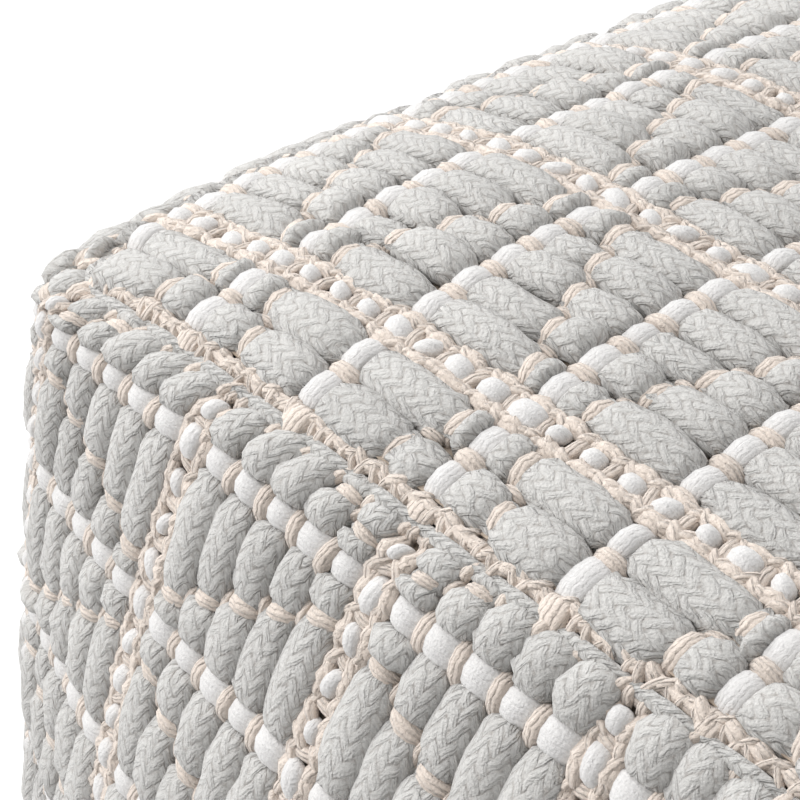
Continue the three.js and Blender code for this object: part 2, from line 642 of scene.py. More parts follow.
@dataclass(frozen=True)
class Bundle:
    """A short bundle of yarns that goes over something and dives at both ends.

    Lengths are in millimetres and the sweep in degrees. The end inset is the share of the bundle's
    rounding that also draws its ends in, so that they are blunt.
    """

    reach: float
    rise: float
    sweep: float
    half_width: float
    taper: float
    thickness: float
    crest: float
    strands: float
    skew: float
    edge: float = 0.2
    crosses: bool = False
    end_inset: float = 0.45
    rim_power: float = 3.2
    size_spread: float = 0.05
    lift_spread: float = 0.16
    pattern_starts: int = 40
    pattern_step: int = 7
    pattern_length: float = 90.0

    def add_to(
        self, mesh: YarnMesh, cloth: Cloth, fineness: Fineness, chance: Chance, places: Sequence[Array]
    ) -> None:
        """Adds one bundle at each of many places.

        Args:
            mesh: The piece they join.
            cloth: The cloth they lie on.
            fineness: How finely they are divided.
            chance: Source of their small differences.
            places: Their places along and across the cords, shares of full size, and slopes.
        """
        along, across, size, slant = places
        number = len(along)
        size = (1 + chance.normal(0, self.size_spread, number)) * size
        turn = chance.normal(0, 1, number) * self.skew + slant
        bob = chance.normal(0, self.lift_spread, number)
        tone = chance.normal(0, 1, number)
        along, across, size, turn, bob, tone = (
            x[:, None, None] for x in (along, across, size, turn, bob, tone)
        )
        rim = np.array(fineness.bundle_rim)
        angle = np.radians(self.sweep) * np.linspace(-1, 1, fineness.bundle_rings)[:, None]
        rounding = np.abs(rim) ** self.rim_power * (1 - self.edge) + np.abs(rim) * self.edge
        inset = self.thickness * rounding
        forward = (self.reach - inset * self.end_inset) * np.sin(angle) * size
        lift = self.crest + bob - self.rise + (self.rise - inset) * np.cos(angle)
        width = self.half_width * (1 - self.taper * (angle / angle.max()) ** 2) * size
        sideways = width * rim + turn * forward
        moves = (-sideways, forward) if self.crosses else (forward, sideways)
        strand = (rim + 1) / 2 * self.strands
        strand = np.append(strand, strand[-1] + 0.5)
        strand = strand + (chance.integers(0, self.pattern_starts, number) * self.pattern_step)[:, None, None]
        travel = angle * (self.reach + self.rise) / 2
        travel = travel + chance.uniform(0, self.pattern_length, number)[:, None, None]
        mesh.add(cloth, along + moves[0], across + moves[1], lift, strand, travel, tone)


# In order: reach, rise, sweep, half width, taper, thickness, crest, strands and skew
WHITE_BEAD = Bundle(5.4, 4.9, 96, 3.5, 0.1, 2.0, -1.15, 6, 0.05, crosses=True)
BEIGE_TIE = Bundle(4.7, 4.4, 84, 2.05, 0.15, 1.8, -1.3, 4, 0.12)
BEIGE_BINDER = Bundle(4.9, 5.2, 100, 2.3, 0.1, 1.6, -1.05, 4, 0.1, crosses=True)
BEIGE_BRIDGE = Bundle(3.4, 2.6, 84, 1.35, 0.1, 1.7, -2.2, 3, 0.1)
WHITE_PEBBLE = Bundle(3.5, 2.8, 84, 2.6, 0.25, 2.3, -1.1, 4, 0.0, edge=0.15)
BEIGE_CROSSING = Bundle(4.0, 2.8, 86, 1.8, 0.05, 1.6, -2.3, 4, 0.3, crosses=True)
BEIGE_KNOT = Bundle(2.4, 2.0, 84, 1.7, 0.1, 1.8, -1.9, 3, 0.2)
SEAM_KNOT = Bundle(2.6, 2.0, 84, 1.7, 0.15, 1.7, 0.6, 3, 0.15)
SEAM_OVER = Bundle(2.7, 2.2, 84, 1.35, 0.15, 1.5, 0.75, 3, 0.2, crosses=True)
SEAM_FAN = Bundle(3.5, 2.4, 84, 3.9, 0.1, 1.7, 1.1, 5, 0.12, edge=0.25, crosses=True)
SEAM_LOOP = Bundle(4.4, 3.4, 86, 1.5, 0.05, 1.8, -0.7, 3, 0.1)


@dataclass(frozen=True)
class Stretch:
    """A stretch of cloth that is seen close up: how far down it goes, and its place round the pouf."""

    depth: float
    start: float
    length: float

    def holds(self, down: Array, around: Array) -> Array:
        """Whether places lie in it."""
        return (down < self.depth) & ((around - self.start) % FORM.perimeter < self.length)


TOP_NEAR = (Stretch(depth=215, start=0, length=215),)
BAND_NEAR = (Stretch(depth=120, start=-30, length=250), Stretch(depth=12, start=-200, length=200))
SEAM_NEAR = (Stretch(depth=math.inf, start=-200, length=420),)


@dataclass(kw_only=True)
class Loom:
    """Lays yarn on one cloth, divided finely where it is seen close up."""

    cloth: Cloth
    chance: Chance
    near: Sequence[Stretch] = ()
    rest: Fineness = COARSE
    row_samples: int = 20

    def is_near(self, along: Array, across: Array) -> Array:
        """Whether places are seen close up."""
        places = (across, along) if self.cloth.goes_round else (along, across)
        return np.any([np.zeros(np.shape(along), bool), *(x.holds(*places) for x in self.near)], axis=0)

    def row_fineness(self, start: float, end: float, across: float) -> Fineness:
        """How finely a row along the cords is divided, by whether any of it is seen close up."""
        samples = np.linspace(start, end, self.row_samples)
        return FINE if self.is_near(samples, across).any() else self.rest

    def lay(
        self, mesh: YarnMesh, bundle: Bundle, along: Array, across: Array | float,
        size: Array | float = 1.0, slant: Array | float = 0.0,
    ) -> None:
        """Adds one bundle at each of many places.

        Args:
            mesh: The piece they join.
            bundle: What they are.
            along: Their places along the cords.
            across: Their places across the cords.
            size: Their sizes, as shares of the full one.
            slant: Their slopes.
        """
        near = self.is_near(along, across)
        given = [np.broadcast_to(x, near.shape) for x in (along, across, size, slant)]
        for fineness, chosen in ((FINE, near), (self.rest, ~near)):
            if chosen.any():
                bundle.add_to(mesh, self.cloth, fineness, self.chance, [x[chosen] for x in given])


@dataclass(frozen=True)
class CordShape:
    """How a thick cord swells between its ties, in millimetres and in shares of its full size.

    Of each kind of tie it has half the length, and the cord's width and height there.
    """

    half_width: float = 5.6
    half_height: float = 4.5
    depth: float = 4.5
    flatness: float = 0.8
    line_tie: Floats = (2.65, 0.6, 0.4)
    binder_tie: Floats = (1.3, 0.7, 0.55)
    panel_end: Floats = (1.0, 0.8, 0.8)
    band_end: Floats = (1.0, 0.55, 0.55)
    long_from: float = 13.0
    least_gap: float = 2.4
    short_swell: float = 0.95
    swell_spread: float = 0.045
    fullness_power: float = 2.35
    wander: float = 0.55
    tie_wander: float = 0.5
    wander_rise: float = 0.6
    lump: float = 0.24
    end_droop: float = 2.4
    droop_length: float = 6.5
    columns: int = 13
    column_rise: float = 3.8
    pattern_starts: int = 9
    pattern_length: float = 50.0

    def droop(self, to_end: Array) -> Array:
        """How far a panel's cord bends down over the edge at a distance from its end."""
        return self.end_droop * np.clip(1 - to_end / self.droop_length, 0, 1) ** 2

    def ties(self, cord: Cord, layout: Layout) -> list[Floats]:
        """Lists what draws a cord in: its two ends, the white lines and its binders.

        Args:
            cord: The cord.
            layout: The cloth it lies in.

        Returns:
            Of each tie, its place along, half its length, and the cord's width and height there.
        """
        end = self.band_end if layout.wraps else self.panel_end
        lines = [line for line in layout.lines if cord.holds(line, WEAVE.binder_clear)]
        binders = [at for at, _ in layout.binders(cord)]
        kinds = (((cord.start, cord.end), end), (lines, self.line_tie), (binders, self.binder_tie))
        return sorted((at, *tie) for places, tie in kinds for at in places)

    def rings(self, cord: Cord, loom: "WovenPiece") -> tuple[Array, ...]:
        """Works out one cord's rings from end to end.

        Args:
            cord: The cord.
            loom: The piece it lies in.

        Returns:
            For each ring: place along, shares of full width and height, side shift and tone.
        """
        chance, rows = loom.chance, []
        ties = self.ties(cord, loom.layout)
        for (at, half, wide, high), following in zip(ties, [*ties[1:], None]):
            fineness = FINE if loom.is_near(at, cord.centre) else loom.rest
            shift, tone = chance.normal(0, self.wander * self.tie_wander), chance.normal(0, 1)
            for step in fineness.pinch:
                rows.append((at + step * half, wide, high, shift * self.tie_wander, tone))
            gap = following[0] - following[1] - (at + half) if following else 0
            if gap < self.least_gap:
                continue
            long = gap > self.long_from
            swell = (1.0 if long else self.short_swell) * (1 + chance.normal(0, self.swell_spread))
            shift, tone = chance.normal(0, self.wander), chance.normal(0, 1)
            for step in fineness.long_grain if long else fineness.short_grain:
                fullness = math.sqrt(1 - abs(step) ** self.fullness_power)
                mix = (step + 1) / 2
                tied = (one + (two - one) * mix for one, two in zip((wide, high), following[2:]))
                width, height = (x + (swell - x) * fullness for x in tied)
                rows.append((at + half + gap * mix, width, height, shift * fullness, tone))
        return tuple(np.array(column) for column in zip(*rows))

    def add_to(self, mesh: YarnMesh, cord: Cord, loom: "WovenPiece") -> None:
        """Adds one cord as a closed tube that swells between its ties.

        Args:
            mesh: The mesh it joins.
            cord: The cord.
            loom: The piece it lies in.
        """
        along, wide, high, shift, tone = (x[:, None] for x in self.rings(cord, loom))
        angles = np.radians(loom.row_fineness(cord.start, cord.end, cord.centre).ring_angles)
        lump = loom.chance.normal(0, self.lump, (len(along), len(angles)))
        to_end = np.minimum(along - cord.start, cord.end - along)
        bob = shift * self.wander_rise - self.droop(to_end) * (0 if loom.layout.wraps else 1)
        rounding = np.sign(np.cos(angles)) * np.abs(np.cos(angles)) ** self.flatness
        lift = -self.depth + bob + (self.half_height * high + lump) * rounding
        across = cord.centre + shift + (self.half_width * wide + lump) * np.sin(angles)
        turns = np.append(angles, angles[0] + 2 * math.pi) / (2 * math.pi) * self.columns
        turns = turns + loom.chance.integers(0, self.pattern_starts) * self.columns
        travel = along / self.column_rise + loom.chance.uniform(0, self.pattern_length)
        mesh.add(loom.cloth, along, across, lift, turns, travel, tone)


@dataclass(frozen=True)
class ThinBand:
    """The sizes of a thin band's yarns, in millimetres and in shares of the step between pebbles."""

    line_pebble: float = 1.18
    other_pebble: float = 0.95
    pebble_sizes: Pair = (0.82, 1.15)
    pebble_spread: float = 0.35
    pebble_slant: float = 0.2
    end_crossing: float = 0.32
    end_tie_offset: float = 1.9
    end_tie_size: float = 0.72
    knot_shares: Floats = (0.12, 0.37, 0.62, 0.87)
    knot_stagger: float = 0.12
    knot_offsets: Pair = (2.4, 3.3)
    knot_spread: float = 0.3
    knot_sizes: Pair = (0.8, 1.15)
    knot_leans: Pair = (-0.42, 0.42)
    pick_inset: float = 0.6
    pick_clear: float = 1.0
    pick_wander: float = 0.35
    pick_half_width: Pair = (1.95, 0.25)
    pick_half_height: Pair = (1.8, 0.15)
    pick_lift: Pair = (-4.2, 0.6)
    pick_lift_spread: float = 0.3
    pick_strands: int = 3
    pattern_starts: int = 30
    pattern_step: int = 9

    def add_pick(self, mesh: YarnMesh, band: float, side: int, loom: "WovenPiece") -> None:
        """Adds one beige pick beside the pebbles, which waves over and under its neighbours.

        Args:
            mesh: The mesh it joins.
            band: The band's distance across.
            side: 1 or -1 for the side of the pebbles.
            loom: The piece it lies in.
        """
        chance, layout = loom.chance, loom.layout
        start = layout.trim(band) + (0 if layout.wraps else self.pick_clear)
        end = layout.length - start
        fineness = loom.row_fineness(start, end, band)
        count = round((end - start) / WEAVE.pebble_step * fineness.pick_rings) + 1
        along = np.linspace(start, end, count)[:, None]
        wave = np.cos((along - layout.first_line) / WEAVE.pebble_step * 2 * math.pi)
        angles = np.linspace(-math.pi, math.pi, fineness.pick_sides, endpoint=False)
        centre = band + side * (layout.band_half - self.pick_inset)
        centre = centre + chance.normal(0, self.pick_wander, (count, 1))
        width, height = (x + y * wave for x, y in (self.pick_half_width, self.pick_half_height))
        wave = wave + chance.normal(0, self.pick_lift_spread, (count, 1))
        lift = self.pick_lift[0] + self.pick_lift[1] * wave + height * np.cos(angles)
        strands = np.append(angles, math.pi) / math.pi * self.pick_strands + self.pick_strands
        strands = strands + self.pattern_step * chance.integers(0, self.pattern_starts)
        across = centre + width * np.sin(angles)
        mesh.add(loom.cloth, along, across, lift, strands, along, chance.normal(0, 1))


@dataclass(kw_only=True)
class WovenPiece(Loom):
    """A piece of the cover: its thick cords, and its white and beige yarn."""

    name: str
    layout: Layout
    start: float = 0.0
    end: float = math.inf
    cord_shape: CordShape = CordShape()
    thin_band: ThinBand = ThinBand()
    tie_shift: float = 0.5
    binder_slant: float = 0.16
    bridge_shift: float = 0.065

    def __post_init__(self) -> None:
        """Starts the three meshes."""
        kinds = ("cords", "white_yarn", "beige_yarn")
        self.thick, self.white, self.beige = (YarnMesh(f"{self.name}_{kind}") for kind in kinds)

    def build(self, finishes: "Finishes") -> None:
        """Builds every yarn of the piece.

        Args:
            finishes: The materials.
        """
        cords = [cord for cord in self.layout.cords() if self.start <= cord.centre < self.end]
        for cord in cords:
            self.cord_shape.add_to(self.thick, cord, self)
        self.add_lines(cords)
        self.add_binders(cords)
        self.add_bands([float(band) for band in self.layout.bands if self.start <= band < self.end])
        self.thick.make(finishes.cord, Slot.CORD)
        self.white.make(finishes.white, Slot.WHITE)
        self.beige.make(finishes.beige, Slot.BEIGE)

    def add_lines(self, cords: Sequence[Cord]) -> None:
        """Adds the white lines: a white bead over each cord, and a beige tie between two beads.

        Args:
            cords: The cords they cross.
        """
        lines = self.layout.lines
        places = [(line, cord) for cord in cords for line in lines if cord.holds(line, WEAVE.edge_clear)]
        along = np.array([line for line, _ in places])
        across = np.array([cord.centre for _, cord in places])
        self.lay(self.white, WHITE_BEAD, along, across)
        inner = np.array([cord.has_next for _, cord in places])
        beside = across[inner] + WEAVE.cord_pitch / 2
        self.lay(self.beige, BEIGE_TIE, along[inner] + self.tie_shift, beside)

    def add_binders(self, cords: Sequence[Cord]) -> None:
        """Adds the single beige yarns that bind each cord once between two white lines.

        Args:
            cords: The cords they bind.
        """
        binders = [(cord, *binder) for cord in cords for binder in self.layout.binders(cord)]
        places = [(at, way, cord.centre, cord.has_next) for cord, at, way in binders]
        along, way, across, inner = (np.array(column) for column in zip(*places))
        self.lay(self.beige, BEIGE_BINDER, along, across, slant=self.binder_slant * way)
        along = along - WEAVE.line_pitch * self.bridge_shift * way
        self.lay(self.beige, BEIGE_BRIDGE, along[inner], across[inner] + WEAVE.cord_pitch / 2)

    def add_bands(self, bands: Sequence[float]) -> None:
        """Adds the thin bands: a row of white pebbles between two wavy beige picks.

        Args:
            bands: Their distances across.
        """
        layout, thin, chance = self.layout, self.thin_band, self.chance
        step = WEAVE.pebble_step
        places = []
        for band in bands:
            low = layout.trim(band) + WEAVE.edge_clear
            first = math.ceil((low - layout.first_line) / step)
            last = math.floor((layout.length - low - layout.first_line) / step)
            for number in range(first, last + 1):
                full = thin.other_pebble if number % WEAVE.pebbles_per_line else thin.line_pebble
                size = full * chance.uniform(*thin.pebble_sizes)
                places.append((layout.first_line + number * step, band, size))
        along, across, size = np.array(places).T
        jitter = chance.normal(0, thin.pebble_spread, len(along))
        slant = chance.normal(0, thin.pebble_slant, len(along))
        self.lay(self.white, WHITE_PEBBLE, along + jitter, across, size, slant)
        self.lay(self.beige, BEIGE_CROSSING, along + step / 2 + jitter, across)
        if layout.wraps:
            middles = np.array(bands)
            for end in (step * thin.end_crossing, layout.length - step * thin.end_crossing):
                ends = np.full(len(bands), end)
                self.lay(self.beige, BEIGE_CROSSING, ends, middles)
                for side in (-1, 1):
                    beside = middles + side * thin.end_tie_offset
                    self.lay(self.beige, BEIGE_TIE, ends, beside, thin.end_tie_size)
        near = self.is_near(along, across)
        for number, share in enumerate(thin.knot_shares):
            chosen = near | (number % 2 == 1)
            count = chosen.sum()
            for side in (-1, 1):
                beside = across[chosen] + side * chance.uniform(*thin.knot_offsets, count)
                places = along[chosen] + (share + thin.knot_stagger * side) * step
                places = places + chance.normal(0, thin.knot_spread, count)
                size = chance.uniform(*thin.knot_sizes, count)
                self.lay(self.beige, BEIGE_KNOT, places, beside, size, thin.knot_leans[number % 2])
        for band in bands:
            for side in (-1, 1):
                thin.add_pick(self.beige, band, side, self)


@dataclass(frozen=True)
class SeamRoll:
    """A closed yarn right round a seam, in millimetres: its place beside the seam line, and its size."""

    across: float
    lift: float
    sway: float
    radius: float = 1.6
    radius_wave: float = 0.1
    radius_spread: float = 0.04
    wave_length: float = 18.6
    ring_pitch: float = 1.9
    sides: int = 6
    columns: int = 5
    column_rise: float = 2.6

    def add_to(self, mesh: YarnMesh, loom: "SewnSeam") -> None:
        """Adds the yarn.

        Args:
            mesh: The mesh it joins.
            loom: The seam.
        """
        count = round(FORM.perimeter / self.ring_pitch)
        along = np.linspace(0, FORM.perimeter, count)[:, None]
        wave = np.cos(along / FORM.perimeter * round(FORM.perimeter / self.wave_length) * 2 * math.pi)
        angles = np.linspace(-math.pi, math.pi, self.sides, endpoint=False)
        spread = loom.chance.normal(0, self.radius_spread, (count, 1))
        size = self.radius * (1 + self.radius_wave * wave + spread)
        size[-1] = size[0]
        across = self.across * loom.cloth.level.sign + size * np.sin(angles)
        lift = self.lift + self.sway * wave + size * np.cos(angles)
        turns = np.append(angles, math.pi) / (2 * math.pi) * self.columns
        mesh.add(loom.cloth, along, across, lift, turns, along / self.column_rise, 0.0)


@dataclass(kw_only=True)
class SewnSeam(Loom):
    """The overcast beige edge and the turned grey cord where a panel meets the band."""

    layout: Layout
    knot_pitch: float = 3.3
    knot_spread: float = 0.3
    knot_sizes: Pair = (0.75, 1.15)
    knot_leans: Pair = (-0.3, 0.5)
    knot_height: float = 0.9
    knot_height_spread: float = 0.4
    over_height: float = -0.5
    over_height_spread: float = 0.3
    fan_height: float = -1.0
    loop_depth: float = 2.3
    loop_spread: float = 0.3
    loop_leans: Pair = (-0.35, 0.0)
    core: SeamRoll = SeamRoll(across=0.3, lift=-1.5, sway=0.1)
    turned_cord: SeamRoll = SeamRoll(across=-2.7, lift=-0.5, sway=0.6)

    def build(self, finishes: "Finishes") -> None:
        """Builds the edge's knots and fans, and the cord that is turned along it.

        Args:
            finishes: The materials.
        """
        chance, level = self.chance, self.cloth.level
        knots, turns = (YarnMesh(f"{level.value}_seam_{kind}") for kind in ("knots", "turned_cord"))
        number = round(FORM.perimeter / self.knot_pitch)
        order = np.arange(number)
        along = order * FORM.perimeter / number + chance.normal(0, self.knot_spread, number)
        lean = np.array(self.knot_leans)[order % 2]
        size = chance.uniform(*self.knot_sizes, number)
        height = (self.knot_height + chance.normal(0, self.knot_height_spread, number)) * level.sign
        self.lay(knots, SEAM_KNOT, along, height, size, lean)
        height = self.over_height * level.sign + chance.normal(0, self.over_height_spread, number)
        self.lay(knots, SEAM_OVER, along + self.knot_pitch / 2, height, size, lean)
        lines = self.layout.lines
        fans = np.concatenate([lines, 3 * FORM.side - lines])
        self.lay(knots, SEAM_FAN, fans, self.fan_height * level.sign)
        self.core.add_to(knots, self)
        self.add_loops(knots)
        self.turned_cord.add_to(turns, self)
        knots.make(finishes.beige, Slot.BEIGE)
        turns.make(finishes.cord, Slot.CORD)

    def add_loops(self, mesh: YarnMesh) -> None:
        """Adds the beige loops that hold the tips of the band's cords at the seam.

        Args:
            mesh: The mesh they join.
        """
        across = np.array([cord.centre for cord in BAND_LAYOUT.cords()]) + WEAVE.cord_pitch / 2
        along = self.loop_depth + self.chance.normal(0, self.loop_spread, len(across))
        if self.cloth.level is Level.BASE:
            along = BAND_LAYOUT.length - along
        lean = self.chance.uniform(*self.loop_leans, len(across))
        band = Loom(cloth=BandCloth(), chance=self.chance, near=self.near)
        band.lay(mesh, SEAM_LOOP, along, across, slant=lean)


@dataclass(frozen=True)
class FilledGround:
    """The filled cushion under the yarns: closed forms just below the cloth's surface."""

    depth: float = 5.2
    steps_round: int = 160
    shelf: float = 0.4
    corner_dip_share: float = 1.5
    inner_scales: Floats = (0.3, 0.985)
    outer_scales: Floats = (0.985, 0.96, 0.92, 0.87, 0.8, 0.7, 0.55, 0.35, 0.12)
    band_rings: int = 41
    band_clear: float = 2.5

    def build(self, finishes: "Finishes") -> None:
        """Builds the three forms, each of which stands for one solid of the frame.

        Args:
            finishes: The materials.
        """
        for name, node, rings in (
            ("top_ground", "top_panel", self.panel(Level.TOP)),
            ("side_ground", "side_band", self.band()),
            ("base_ground", "base_panel", self.panel(Level.BASE)),
        ):
            piece = new_piece(name, self.skin(name, rings), finishes.ground)
            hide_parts(node)
            LOG.info("%s stands for %s", name, node)

    def skin(self, name: str, rings: Sequence[Array]) -> bpy.types.Mesh:
        """Makes a closed mesh from rings of points, with flat ends.

        Args:
            name: The mesh's name.
            rings: Points in millimetres, lowest ring first.

        Returns:
            The mesh.
        """
        count = len(rings[0])
        last = (len(rings) - 1) * count
        faces = [tuple(range(count))[::-1]]
        for low in range(0, last, count):
            for i in range(count):
                j = (i + 1) % count
                faces.append((low + i, low + j, low + count + j, low + count + i))
        faces.append(tuple(range(last, last + count)))
        mesh = bpy.data.meshes.new(name)
        mesh.from_pydata([tuple(p) for p in np.concatenate(rings) * MM], [], faces)
        return mesh

    def panel(self, level: Level) -> list[Array]:
        """Works out the form of the top or base panel, which dips towards its corners.

        Args:
            level: Which panel it is.

        Returns:
            Its rings, lowest first.
        """
        sign, half = level.sign, FORM.seam_half_width
        shelf = FORM.seam_height(level) + sign * self.shelf
        x, y, _ = FORM.seam_point(np.linspace(-1, 1, self.steps_round // 4, endpoint=False))
        sides = [np.column_stack(turned(x, y, quarter * QUARTER_TURN)) for quarter in range(4)]
        rings = []
        for number, scale in enumerate((*self.inner_scales, *self.outer_scales)):
            flat = np.concatenate(sides) * scale
            shares = np.abs(flat) / half
            dip = FORM.seam_corner_dip * self.corner_dip_share
            dip = dip * (shares[:, 0] * shares[:, 1]) ** FORM.corner_power
            height = shelf - sign * dip
            if number >= len(self.inner_scales):
                surface = PanelCloth(level).point(flat[:, 0] + half, sign * flat[:, 1] + half)
                heights = surface[:, 2] - sign * self.depth, shelf + sign * (self.shelf - dip)
                height = np.maximum(*heights) if sign > 0 else np.minimum(*heights)
            rings.append(np.column_stack([flat, height]))
        return rings[::sign]

    def band(self) -> list[Array]:
        """Works out the form of the side band.

        Returns:
            Its rings, lowest first.
        """
        across = np.linspace(0, FORM.perimeter, self.steps_round, endpoint=False)
        shares = np.linspace(-1, 1, self.band_rings)[::-1]
        along = FORM.half_cloth + shares * (FORM.half_cloth - self.band_clear)
        return [BandCloth().place(at, across, -self.depth) for at in along]


class Wiring:
    """Adds nodes to one node tree and wires them as it goes."""

    def __init__(self, tree: Group) -> None:
        """Keeps the tree."""
        self.tree = tree

    def feed(self, node: bpy.types.Node, takes: Takes) -> None:
        """Feeds a node's inputs.

        Args:
            node: The node.
            takes: By an input's name or number, another node's output or a value of its own.
        """
        for name, value in takes.items():
            if isinstance(value, Socket):
                self.tree.links.new(value, node.inputs[name])
            else:
                node.inputs[name].default_value = value

    def node(self, kind: str, takes: Takes | None = None, **settings: object) -> bpy.types.NodeOutputs:
        """Adds a node.

        Args:
            kind: Its kind of shader node.
            takes: What its inputs get.
            settings: Its properties.

        Returns:
            Its outputs.
        """
        made = self.tree.nodes.new(f"ShaderNode{kind}")
        for name, value in settings.items():
            setattr(made, name, value)
        self.feed(made, takes or {})
        return made.outputs

    def math(self, operation: str, *values: object) -> Socket:
        """Adds a Math node and returns its result."""
        return self.node("Math", dict(enumerate(values)), operation=operation)[0]

    def plus(self, first: object, second: object) -> Socket:
        """Adds two values."""
        return self.math("ADD", first, second)

    def minus(self, first: object, second: object) -> Socket:
        """Takes the second value from the first."""
        return self.math("SUBTRACT", first, second)

    def times(self, first: object, second: object) -> Socket:
        """Multiplies two values."""
        return self.math("MULTIPLY", first, second)

    def scaled(self, value: object, factor: object, offset: object) -> Socket:
        """Multiplies a value by a factor and adds an offset."""
        return self.math("MULTIPLY_ADD", value, factor, offset)

    def centred(self, noise: object) -> Socket:
        """Shifts noise so that it varies around 0."""
        return self.minus(noise, 0.5)

    def arc(self, share: object) -> Socket:
        """Rises from 0 at share 0 to 1 in the middle, and falls to 0 at share 1."""
        return self.times(self.times(share, self.minus(1.0, share)), 4.0)

    def smooth(self, value: object, low: float, high: float) -> Socket:
        """Rises smoothly from 0 at low to 1 at high."""
        takes = {"Value": value, "From Min": low, "From Max": high}
        return self.node("MapRange", takes, interpolation_type="SMOOTHSTEP")[0]

    def mix(self, factor: object, first: object, second: object) -> Socket:
        """Mixes two colours."""
        return self.node("Mix", {0: factor, 6: first, 7: second}, data_type="RGBA")[2]

    def noise(self, vector: object, scale: float, detail: float) -> bpy.types.NodeOutputs:
        """Adds a noise texture."""
        return self.node("TexNoise", {"Vector": vector, "Scale": scale, "Detail": detail})

    def fibres(self, scale: float, detail: float = 3.0) -> Socket:
        """Adds noise that is fixed to the piece."""
        return self.noise(self.node("TexCoord")["Object"], scale, detail)[0]

    def streaks(self, cross: object, along: object, strand: object, fine: float, long: float) -> Socket:
        """Adds noise that is drawn out along a strand.

        Args:
            cross: Place across the strand.
            along: Place along it.
            strand: The strand's number.
            fine: Scale of the noise across.
            long: Scale of the noise along.

        Returns:
            The noise.
        """
        takes = {0: self.times(cross, fine), 1: self.times(along, long), 2: self.times(strand, 3.7)}
        return self.noise(self.node("CombineXYZ", takes)[0], 1.0, 2.0)[0]

    def bump(self, height: Socket, relief_mm: float, takes: Takes | None = None) -> Socket:
        """Adds a Bump node for a relief of some millimetres."""
        takes = {"Height": height, "Distance": relief_mm * MM} | (takes or {})
        return self.node("Bump", takes)[0]

    def surface(self, takes: Takes) -> None:
        """Adds the shader that ends a material."""
        shader = self.node("BsdfPrincipled", takes)
        self.node("OutputMaterial", {"Surface": shader[0]})


class SharedGroup(Wiring):
    """A shader node group with named inputs and outputs, and its wiring."""

    def __init__(self, name: str, takes: dict[str, str], gives: dict[str, str]) -> None:
        """Makes the group with its input node.

        Args:
            name: The group's name.
            takes: Kind of socket, by input name.
            gives: Kind of socket, by output name.
        """
        super().__init__(bpy.data.node_groups.new(name, "ShaderNodeTree"))
        for names, way in ((takes, "INPUT"), (gives, "OUTPUT")):
            for label, kind in names.items():
                self.tree.interface.new_socket(name=label, in_out=way, socket_type=f"NodeSocket{kind}")
        self.takes = self.tree.nodes.new("NodeGroupInput").outputs

    def give(self, results: Takes) -> Group:
        """Wires the results to the group's outputs and returns the group."""
        self.feed(self.tree.nodes.new("NodeGroupOutput"), results)
        return self.tree


# The hollow output is a mask of the hollows where shade is painted into the colour
RELIEF_GIVES = {"Height": "Float", "Hollow Shade": "Float", "Streak": "Float"}


@dataclass(frozen=True)
class BraidRelief:
    """The relief of a braid whose strands lean both ways, each over two and under two."""

    bend_scale: float = 0.8
    strand_power: float = 1.7
    arch_share: float = 0.65
    streak_scales: Pair = (6.0, 0.9)
    streak_depth: float = 0.5
    plies: int = 3
    ply_waver: float = 0.3
    ply_power: float = 1.5
    ply_depth: float = 0.26
    lump_scale: float = 1.7
    lump_depth: float = 0.45
    hollow_shade_below: float = 0.4
    arch_cover: float = 0.7
    hollow_shade_patches: Pair = (0.25, 0.6)

    def group(self) -> Group:
        """Makes the node group.

        Returns:
            The group. It takes pattern coordinates, in columns round the cord and rises along it,
            and gives a height, a mask of the hollows where shade is painted and the streaks of the fibres.
        """
        w = SharedGroup("BraidRelief", {"Place": "Vector", "Unevenness": "Float"}, RELIEF_GIVES)
        place = w.takes["Place"]
        parts = w.node("SeparateXYZ", {0: place})
        bend = w.node("SeparateColor", {0: w.noise(place, self.bend_scale, 1.5)["Color"]})
        column, rise = (
            w.plus(parts[axis], w.times(w.centred(bend[axis]), w.takes["Unevenness"])) for axis in (0, 1)
        )
        p, q = w.plus(rise, column), w.minus(rise, column)
        p_part, q_part = w.math("FRACT", p), w.math("FRACT", q)
        p_whole, q_whole = w.math("FLOOR", p), w.math("FLOOR", q)
        order = w.math("FLOORED_MODULO", w.minus(p_whole, q_whole), 4.0)
        first_over = w.math("LESS_THAN", order, 1.5)
        crosswise = w.scaled(first_over, w.minus(q_part, p_part), p_part)
        along_first = w.plus(order, p_part)
        along_second = w.plus(w.minus(3.0, order), q_part)
        lengthwise = w.scaled(first_over, w.minus(along_first, along_second), along_second)
        arch = w.math("SINE", w.times(lengthwise, QUARTER_TURN))
        roundness = w.math("POWER", w.arc(crosswise), self.strand_power)
        body = w.times(roundness, w.scaled(arch, self.arch_share, 1 - self.arch_share))
        strand = w.plus(p_whole, w.times(q_whole, 7.3))
        streaks = w.streaks(crosswise, lengthwise, strand, *self.streak_scales)
        waver = w.scaled(w.centred(streaks), self.ply_waver, crosswise)
        plies = w.math("ABSOLUTE", w.math("SINE", w.times(waver, self.plies * math.pi)))
        lumps = w.noise(place, self.lump_scale, 1.0)[0]
        height = w.scaled(w.math("POWER", plies, self.ply_power), self.ply_depth, body)
        height = w.scaled(streaks, self.streak_depth, height)
        height = w.scaled(lumps, self.lump_depth, height)
        # Painted shade: dark specks where the strands cross, kept out of the middle of each float
        hollow_shade = w.minus(1.0, w.smooth(body, 0.0, self.hollow_shade_below))
        hollow_shade = w.times(hollow_shade, w.scaled(arch, -self.arch_cover, 1.0))
        hollow_shade = w.times(hollow_shade, w.smooth(lumps, *self.hollow_shade_patches))
        return w.give({"Height": height, "Hollow Shade": hollow_shade, "Streak": streaks})


